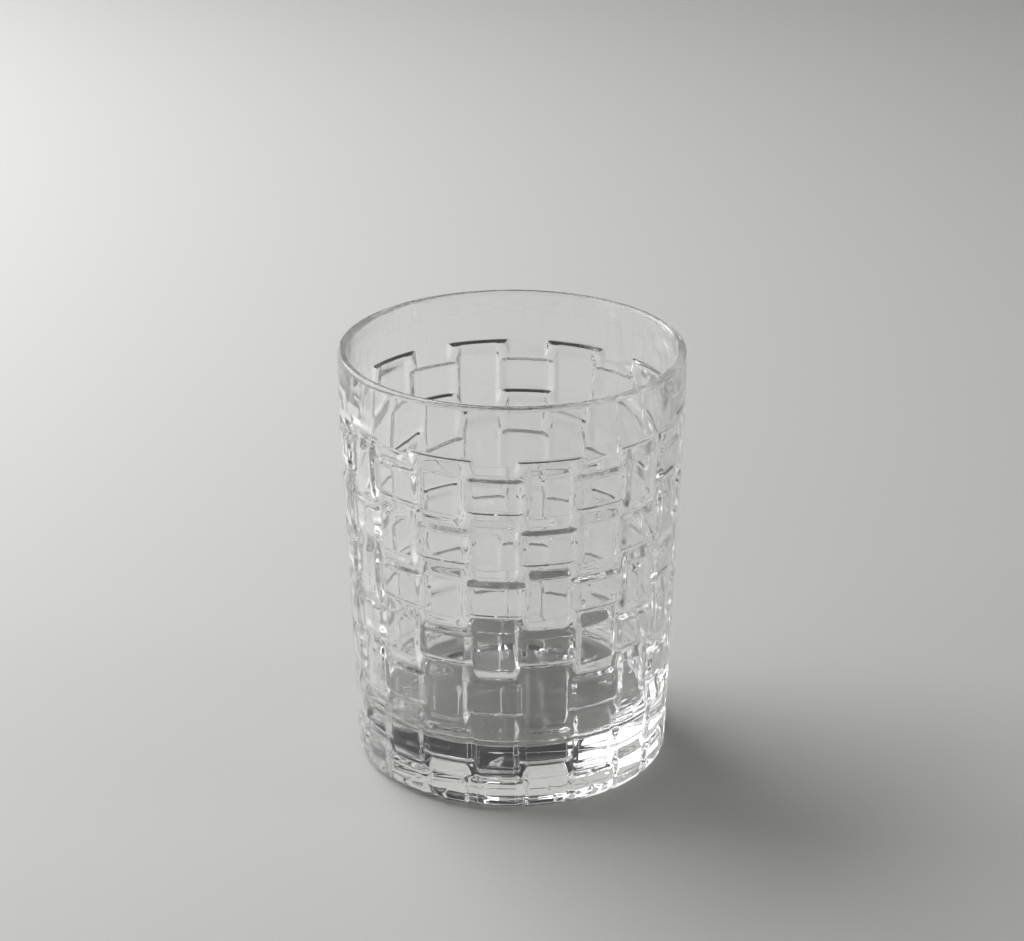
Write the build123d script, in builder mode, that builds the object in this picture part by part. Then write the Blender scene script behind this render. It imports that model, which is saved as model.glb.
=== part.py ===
"""Pressed-glass whiskey tumbler: one piece of clear glass, with a basket weave pressed into its outer wall.

Frame: millimetres, +Z up, origin at the centre of the plane that the foot rests on. Column 0 of the weave
is centred on -Y. In the top row the even columns show a lying pad and the odd columns a standing one, and
each row below swaps them.
"""

import os
from math import atan, cos, pi, radians, sin, tan

from build123d import *

# ---- outer shape -------------------------------------------------------------------------------------------------
height = 98.0
rim_radius = 38.9
wall_foot_radius = 35.6  # where the wall's face line would meet the resting plane
heel_radius = 2.6  # rounded edge between the wall and the foot
foot_ring_width = 6.5  # flat ring that the glass stands on
punt_depth = 0.8  # shallow hollow inside that ring

# ---- lip, cavity and base ----------------------------------------------------------------------------------------
lip_thickness = 2.2
wall_thickness = 3.2  # from the weave's face to the cavity, at the cavity's floor
base_thickness = 14.5
floor_corner_radius = 4.0

# ---- weave -------------------------------------------------------------------------------------------------------
columns = 20  # even, so that over and under close on themselves round the wall
plain_band = 13.1  # smooth glass between the lip's top and the first standing pads
row_pitch = 12.24
lying_pad_height = 8.7
relief_depth = 1.05  # from the pads' face to the floor of the grooves
groove_floor_width = 0.35
flank_angle = 38.0  # lean of the grooves' sides
pad_bite = 0.15  # how far a pad's block reaches into the wall behind it

# ---- what follows from those sizes -------------------------------------------------------------------------------
weave_top = height - plain_band
draft = atan((rim_radius - wall_foot_radius) / weave_top)
column_angle = 360.0 / columns
standing_pad_height = 2 * row_pitch - lying_pad_height
first_row_height = weave_top - standing_pad_height / 2
rows = 1 + int(weave_top // row_pitch)
lip_edge_radius = 0.48 * lip_thickness


def face_radius(z):
    """Radius of the weave's face at a height: one straight line from the foot up to the plain band."""
    return wall_foot_radius + (rim_radius - wall_foot_radius) * z / weave_top


def blank(inset):
    """The glass before its cavity, with the wall below the plain band moved in by an inset."""
    with BuildPart() as body:
        with BuildSketch(Plane.XZ):
            with BuildLine():
                Polyline(
                    (0, height),
                    (0, punt_depth),
                    (face_radius(0) - heel_radius - foot_ring_width, 0),
                    (face_radius(0) - inset, 0),
                    (face_radius(weave_top) - inset, weave_top),
                    (rim_radius, weave_top + relief_depth),
                    (rim_radius, height),
                    (0, height),
                )
            wall = make_face()
            heel = wall.vertices().group_by(Axis.Y)[0].sort_by(Axis.X)[-1]
            fillet(heel, heel_radius)
        revolve(axis=Axis.Z)
    return body.part


def pad(width, middle, pad_height, face):
    """One pad of the weave on the +X side: a block that narrows outwards, trimmed to the wall's face."""
    outwards = Vector(cos(draft), 0, -sin(draft))
    root = Vector(face_radius(middle), 0, middle) - outwards * (relief_depth + pad_bite)
    spread = 2 * pad_bite * tan(radians(flank_angle)) - groove_floor_width
    with BuildPart() as block:
        with BuildSketch(Plane(origin=root, x_dir=(0, 1, 0), z_dir=outwards)):
            Rectangle(width + spread, pad_height + spread)
        extrude(amount=pad_bite + 2 * relief_depth, taper=flank_angle)
        add(face, mode=Mode.INTERSECT)
    return block.part


# ---- the tumbler -------------------------------------------------------------------------------------------------
face = blank(inset=0)
wall = blank(inset=relief_depth)
rows_of_pads = []
for row in range(rows):
    middle = first_row_height - row * row_pitch
    width = 2 * pi * (face_radius(middle) - relief_depth) / columns
    lying = pad(width, middle, lying_pad_height, face)
    standing = pad(width, middle, standing_pad_height, face)
    first_lying = -90 + column_angle * (row % 2)
    rows_of_pads.append((lying, standing, first_lying))

with BuildPart() as tumbler:
    add(wall)

    # drinking cavity, open at the top
    floor_radius = face_radius(base_thickness) - wall_thickness
    mouth_radius = rim_radius - lip_thickness
    with BuildSketch(Plane.XZ):
        with BuildLine():
            Polyline(
                (0, base_thickness),
                (floor_radius, base_thickness),
                (mouth_radius, height),
                (0, height),
                (0, base_thickness),
            )
        cavity = make_face()
        floor_corner = cavity.vertices().group_by(Axis.Y)[0].sort_by(Axis.X)[-1]
        fillet(floor_corner, floor_corner_radius)
    revolve(axis=Axis.Z, mode=Mode.SUBTRACT)
    lip = tumbler.faces().sort_by(Axis.Z)[-1]
    fillet(lip.edges(), lip_edge_radius)

    # weave: in each row the lying and the standing pads take turns round the wall
    for lying, standing, first_lying in rows_of_pads:
        with PolarLocations(0, columns // 2, start_angle=first_lying):
            add(lying)
        with PolarLocations(0, columns // 2, start_angle=first_lying + column_angle):
            add(standing)

tumbler.part.label = "glass_tumbler"
os.makedirs("parts", exist_ok=True)
export_step(tumbler.part, "parts/glass_tumbler.step")
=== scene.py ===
"""A pressed-glass whiskey tumbler on a pale table, in soft studio light."""

from math import atan, atan2, cos, pi, radians, sin, sqrt, tan

import bpy
import bmesh
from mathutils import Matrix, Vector


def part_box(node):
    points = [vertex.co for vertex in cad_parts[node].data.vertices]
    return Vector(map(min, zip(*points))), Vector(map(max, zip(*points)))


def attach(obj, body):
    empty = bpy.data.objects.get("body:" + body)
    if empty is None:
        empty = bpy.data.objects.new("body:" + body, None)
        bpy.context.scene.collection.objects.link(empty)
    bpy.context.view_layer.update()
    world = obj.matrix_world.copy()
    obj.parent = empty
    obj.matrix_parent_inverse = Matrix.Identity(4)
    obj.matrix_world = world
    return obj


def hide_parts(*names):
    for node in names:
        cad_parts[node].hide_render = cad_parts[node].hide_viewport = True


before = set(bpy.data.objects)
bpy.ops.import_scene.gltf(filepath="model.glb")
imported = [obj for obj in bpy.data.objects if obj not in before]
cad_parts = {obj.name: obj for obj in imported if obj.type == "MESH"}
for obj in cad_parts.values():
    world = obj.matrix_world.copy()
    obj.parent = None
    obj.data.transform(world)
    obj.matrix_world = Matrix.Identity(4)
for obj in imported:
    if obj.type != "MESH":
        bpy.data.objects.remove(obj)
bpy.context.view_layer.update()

# ---- the tumbler: glass --------------------------------------------------------------------------------------
# One piece of clear soda-lime glass. A gob of molten glass is pressed between a plunger, which makes the cavity,
# and a mould with the basket weave cut into it. The weave is 20 columns of pads: in each row every other pad lies
# and the rest stand, and the next row swaps them, so each strand seems to pass over and under its neighbours.
mm = 0.001
rim_radius, _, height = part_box("glass_tumbler")[1]
wall_foot_radius = 35.6 * mm
heel_radius = 2.6 * mm
foot_ring_width = 6.5 * mm
punt_depth = 0.8 * mm
lip_radius = 1.1 * mm
wall_thickness = 3.2 * mm
base_thickness = 14.5 * mm
floor_corner = 4.0 * mm

columns = 20
rows = 7
plain_band = 13.1 * mm
row_pitch = 12.24 * mm
half_pad = 4.35 * mm  # half the height of a lying pad
relief_depth = 1.05 * mm
edge_flank = 1.1 * mm  # half the height of the flank along a lying pad's edge
end_dip = 0.9 * mm  # how far a standing strand sinks between two lying ones
lying_dip = 0.55  # how far a lying strand's end sinks, as a share of the relief's depth
valley_radius = 0.06 * mm
# where the bevels end and how wide they are, in shares of half a column from its middle
standing_edge, side_bevel = 0.96, 0.26
lying_end, end_bevel = 1.08, 0.3

weave_top = height - plain_band
first_row = weave_top - row_pitch + half_pad
column_angle = 2 * pi / columns


def face_radius(z):
    """Radius of the pads' faces at a height: the wall's taper, and the rounded heel at its foot."""
    taper = wall_foot_radius + (rim_radius - wall_foot_radius) * min(z / weave_top, 1)
    tuck = max(heel_radius - z, 0)
    return taper - heel_radius + sqrt(max(heel_radius**2 - tuck**2, 0))


def ease(t):
    """0 below 0, 1 above 1, and a smooth step between."""
    t = min(max(t, 0), 1)
    return t * t * (3 - 2 * t)


def bevel(place, width, edge):
    """A strand's bevelled side: level with its face, then down by the relief's depth at its edge, and on."""
    t = max((place - edge + width) / width, 0)
    return -relief_depth * (t if t > 1 else 0.6 * t + 0.4 * ease(t))


def flank(past):
    """The steep flank along a lying pad's edge, by the distance past its middle."""
    return -2 * relief_depth * ease((past + edge_flank) / (2 * edge_flank))


def higher(a, b):
    """The higher of two surfaces, with a rounded valley where they meet."""
    return (a + b + sqrt((a - b) ** 2 + valley_radius**2)) / 2


def weave_level(angle, z):
    """How far the mould pushes the glass out, from the pads' faces at 0 down to -relief_depth in the valleys."""
    column = round(angle / column_angle)
    across = 2 * abs(angle / column_angle - column)  # from 0 at the middle of the column to 1 at its side
    row = round((first_row - z) / row_pitch)
    up = abs(z - (first_row - row * row_pitch))
    stands = (column + row) % 2  # 1 where the standing strand is the one on top

    # The lying strand of this row has steep edges, and its ends dip under the standing strands beside it.
    lying = lying_dip * bevel(2 - across if stands else across, end_bevel, lying_end) + flank(up - half_pad)

    # The standing strand of this column has wide bevelled sides, and sinks between two lying strands.
    sink = end_dip * ease(((up if stands else row_pitch - up) - half_pad) / (row_pitch - 2 * half_pad))
    standing = bevel(across, side_bevel, standing_edge) - sink

    # The plain band under the rim runs down over the first row like one more lying strand.
    level = max(standing if row < 0 else higher(lying, standing), -relief_depth)
    if z > weave_top - edge_flank:
        level = higher(level, flank(weave_top - z))
    return min(level, 0)


# The wall starts as a plain drum. It is cut along and around, closest together where the pads have their edges.
bpy.ops.object.select_all(action="DESELECT")
drum_height = height - lip_radius
bpy.ops.mesh.primitive_cylinder_add(
    vertices=columns,
    radius=rim_radius,
    depth=drum_height,
    end_fill_type="NOTHING",
    location=(0, 0, drum_height / 2),
)
glass = bpy.context.object
glass.name = glass.data.name = "pressed_glass"
bpy.ops.object.transform_apply(location=True)
bpy.ops.object.mode_set(mode="EDIT")


def cut(place, normal):
    """Cuts all the way through the mesh in edit mode along a plane."""
    bpy.ops.mesh.select_all(action="SELECT")
    bpy.ops.mesh.bisect(plane_co=place, plane_no=normal)


for share in (0.3, 0.55, 0.66, 0.7, 0.75, 0.79, 0.83, 0.87, 0.92, 0.96, 1):
    for column in range(columns // 2):
        for side in (1, -1) if share < 1 else (1,):
            angle = (column + side * share / 2) * column_angle
            cut((0, 0, 0), (cos(angle), sin(angle), 0))

crowding = 1.7  # the cuts over a pad stand closer together towards its edges
across_pad = [(1 - (1 - step / 7) ** crowding) * half_pad for step in range(8)]
across_gap = [half_pad + (row_pitch / 2 - half_pad) * step / 3 for step in range(1, 4)]
heel = [heel_radius * (1 - sin(pi / 2 * step / 6)) for step in range(6)]
band_edge = [weave_top + edge_flank * step / 4 for step in range(-2, 6)]
weave = [
    first_row - row * row_pitch + side * offset
    for row in range(rows)
    for offset in across_pad + across_gap
    for side in (1, -1)
]
above_heel = {z for z in weave + band_edge if z > heel_radius + 0.05 * mm}
for z in sorted(above_heel) + heel:
    cut((0, 0, z), (0, 0, 1))
bpy.ops.object.mode_set(mode="OBJECT")

# Pressing: each point of the wall goes where the mould puts it. The top of the plain band stays smooth.
smooth_above = weave_top + 2 * mm
for vertex in glass.data.vertices:
    angle, z = atan2(vertex.co.x, -vertex.co.y), vertex.co.z
    radius = face_radius(z) + (weave_level(angle, z) if z < smooth_above else 0)
    vertex.co.x, vertex.co.y = radius * sin(angle), -radius * cos(angle)


def draw_rings(z, radius, outline):
    """Extrudes the open edge at a height and radius from ring to ring of an outline, and closes it at the axis."""
    bpy.ops.mesh.select_all(action="DESELECT")
    mesh = bmesh.from_edit_mesh(glass.data)
    for edge in mesh.edges:
        if edge.is_boundary and all(abs(vertex.co.z - z) < 0.01 * mm for vertex in edge.verts):
            edge.select_set(True)
    bmesh.update_edit_mesh(glass.data)
    for next_radius, next_z in outline:
        bpy.ops.mesh.extrude_region_move(TRANSFORM_OT_translate={"value": (0, 0, next_z - z)})
        scale = next_radius / radius
        bpy.ops.transform.resize(value=(scale, scale, 1), center_override=(0, 0, 0))
        radius, z = next_radius, next_z
    bpy.ops.mesh.merge(type="CENTER")


def arc(radius, z, bend, start, stop, steps):
    """Points round a corner after its first, from its centre, its radius and its angles from outwards."""
    angles = (start + (stop - start) * step / steps for step in range(1, steps + 1))
    return [(radius + bend * cos(angle), z + bend * sin(angle)) for angle in angles]


# lip and cavity: the rounded rim, then the plunger's tapered plug down to a flat floor with a rounded corner
bpy.ops.object.mode_set(mode="EDIT")
floor_radius = face_radius(base_thickness) - wall_thickness
lean = atan((rim_radius - 2 * lip_radius - floor_radius) / (height - base_thickness))
corner_radius = floor_radius + floor_corner * tan(lean) - floor_corner / cos(lean)
corner_height = base_thickness + floor_corner
inside = arc(rim_radius - lip_radius, drum_height, lip_radius, 0, pi, 12)
inside += [(corner_radius + floor_corner * cos(lean), corner_height - floor_corner * sin(lean))]
inside += arc(corner_radius, corner_height, floor_corner, -lean, -pi / 2, 8)
inside += [(corner_radius * share, base_thickness) for share in (0.75, 0.5, 0.25, 0.1)]
draw_rings(drum_height, rim_radius, inside)

# foot: a flat ring round a shallow hollow
ring_inner = face_radius(0) - foot_ring_width
turns = [pi / 2 * step / 8 for step in range(8)]
draw_rings(0, face_radius(0), [(ring_inner * cos(turn), punt_depth * sin(turn)) for turn in turns])
bpy.ops.mesh.select_all(action="SELECT")
bpy.ops.mesh.normals_make_consistent(inside=False)
bpy.ops.object.mode_set(mode="OBJECT")
bpy.ops.object.shade_smooth()

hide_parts("glass_tumbler")
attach(glass, "root")


def linear(hex_colour):
    """The linear colour of an sRGB hex value."""
    channels = (int(hex_colour[i : i + 2], 16) / 255 for i in (1, 3, 5))
    return tuple(c / 12.92 if c <= 0.04045 else ((c + 0.055) / 1.055) ** 2.4 for c in channels) + (1,)


def add_node(tree, kind, settings={}, links={}, **properties):
    """Adds a node with its properties, its sockets' values and its links to other nodes' outputs."""
    node = tree.nodes.new(kind)
    for name, value in properties.items():
        setattr(node, name, value)
    for name, value in settings.items():
        node.inputs[name].default_value = value
    for name, output in links.items():
        tree.links.new(output, node.inputs[name])
    return node


def new_material(name):
    """An empty node material."""
    material = bpy.data.materials.new(name)
    material.use_nodes = True
    material.node_tree.nodes.clear()
    return material


# Clear soda-lime glass, fire-polished after pressing, so it is smooth and colourless. The chilled mould leaves a
# very slight waviness about a centimetre across: straight lines seen through the wall waver a little.
clear_glass = new_material("clear_pressed_glass")
tree = clear_glass.node_tree
place = add_node(tree, "ShaderNodeTexCoord")
waves = add_node(
    tree, "ShaderNodeTexNoise", {"Scale": 1 / (11 * mm), "Detail": 1.0}, {"Vector": place.outputs["Object"]}
)
bump = add_node(tree, "ShaderNodeBump", {"Strength": 0.1, "Distance": 0.1 * mm}, {"Height": waves.outputs["Fac"]})
surface = add_node(
    tree,
    "ShaderNodeBsdfPrincipled",
    {"Base Color": linear("#FFFFFF"), "Roughness": 0.0, "IOR": 1.52, "Transmission Weight": 1.0},
    {"Normal": bump.outputs["Normal"]},
)
add_node(tree, "ShaderNodeOutputMaterial", {}, {"Surface": surface.outputs["BSDF"]})
glass.data.materials.append(clear_glass)

# ---- the table: scenery --------------------------------------------------------------------------------------
# A wide sheet of pale grey background paper. Its top is a tenth of a millimetre under the foot, because a real
# foot ring is never flat enough to wet the paper: the film of air keeps the glass bright down to its edge.
bpy.ops.object.select_all(action="DESELECT")
air_film = 0.1 * mm
bpy.ops.mesh.primitive_plane_add(size=6, location=(0, 0, -air_film))
table = bpy.context.object
table.name = table.data.name = "table_top"

# Uncoated background paper, rolled in the mill: matt, even in colour, with a fibre grain that takes off any sheen.
paper = new_material("matt_paper")
tree = paper.node_tree
place = add_node(tree, "ShaderNodeTexCoord")
fibres = add_node(
    tree, "ShaderNodeTexNoise", {"Scale": 1 / (0.8 * mm), "Detail": 3.0}, {"Vector": place.outputs["Object"]}
)
bump = add_node(tree, "ShaderNodeBump", {"Strength": 0.1, "Distance": 0.02 * mm}, {"Height": fibres.outputs["Fac"]})
surface = add_node(
    tree,
    "ShaderNodeBsdfPrincipled",
    {"Base Color": linear("#D9D9D6"), "Roughness": 0.7},
    {"Normal": bump.outputs["Normal"]},
)
add_node(tree, "ShaderNodeOutputMaterial", {}, {"Surface": surface.outputs["BSDF"]})
table.data.materials.append(paper)

# ---- camera --------------------------------------------------------------------------------------------------
camera_turn = radians(5.6)
camera_distance, camera_height, camera_pitch = 647.5 * mm, 334.6 * mm, radians(22.388)


def seen_from_camera(right, away, up):
    """A place in metres from the middle of the foot: to the right, away from the camera and up."""
    x = right * cos(camera_turn) - away * sin(camera_turn)
    y = right * sin(camera_turn) + away * cos(camera_turn)
    return Vector((x, y, up))


lens = bpy.data.cameras.new("camera")
camera = bpy.data.objects.new("camera", lens)
bpy.context.collection.objects.link(camera)
camera.location = seen_from_camera(0, -camera_distance, camera_height)
camera.rotation_euler = (pi / 2 - camera_pitch, 0, camera_turn)
lens.lens = 108.8
lens.sensor_width = 36
lens.clip_start = 0.01
bpy.context.scene.camera = camera

# ---- light ---------------------------------------------------------------------------------------------------
# The room round the table is mid-grey, and darker straight behind the table, where no light falls. The thick
# base of the glass shows that dark patch between its bright ones.
room = bpy.data.worlds.new("room")
bpy.context.scene.world = room
room.use_nodes = True
tree = room.node_tree
direction = add_node(tree, "ShaderNodeTexCoord")
behind = add_node(
    tree,
    "ShaderNodeVectorMath",
    {1: seen_from_camera(0.25, 0.96, 0.1)},
    {0: direction.outputs["Generated"]},
    operation="DOT_PRODUCT",
)
shade = add_node(
    tree,
    "ShaderNodeMapRange",
    {"From Min": cos(radians(55)), "From Max": cos(radians(28))},
    {"Value": behind.outputs["Value"]},
    interpolation_type="SMOOTHSTEP",
)
colour = add_node(
    tree,
    "ShaderNodeMix",
    {"A": linear("#646464"), "B": linear("#3A3A3A")},
    {"Factor": shade.outputs["Result"]},
    data_type="RGBA",
)
tree.links.new(colour.outputs["Result"], tree.nodes["Background"].inputs["Color"])


def soft_light(name, place, size, power):
    """A rectangular light aimed at the middle of the tumbler's base."""
    light = bpy.data.lights.new(name, "AREA")
    light.shape = "RECTANGLE"
    light.size, light.size_y = size
    light.energy = power
    lamp = bpy.data.objects.new(name, light)
    bpy.context.collection.objects.link(lamp)
    lamp.location = place
    lamp.rotation_euler = (Vector((0, 0, 0.03)) - place).to_track_quat("-Z", "Y").to_euler()


# One softbox behind on the left gives the shadow to the front right. A white card under it makes the right of the
# base white, and a narrow strip on each side draws the bright lines down the pads' bevels.
soft_light("softbox", seen_from_camera(-0.552, 0.372, 0.64), (0.85, 0.78), 8.2)
soft_light("white_card", seen_from_camera(-0.585, 0.545, 0.2), (0.85, 0.35), 1.0)
soft_light("left_strip", seen_from_camera(-0.85, -0.25, 0.3), (0.3, 0.6), 0.8)
soft_light("right_strip", seen_from_camera(0.85, -0.1, 0.3), (0.3, 0.6), 0.8)
bpy.context.scene.view_settings.view_transform = "Standard"

# Light that is caught inside thick glass is reflected many times before it comes out.
bpy.context.scene.cycles.max_bounces = 32
bpy.context.scene.cycles.glossy_bounces = 24
bpy.context.scene.cycles.transmission_bounces = 24
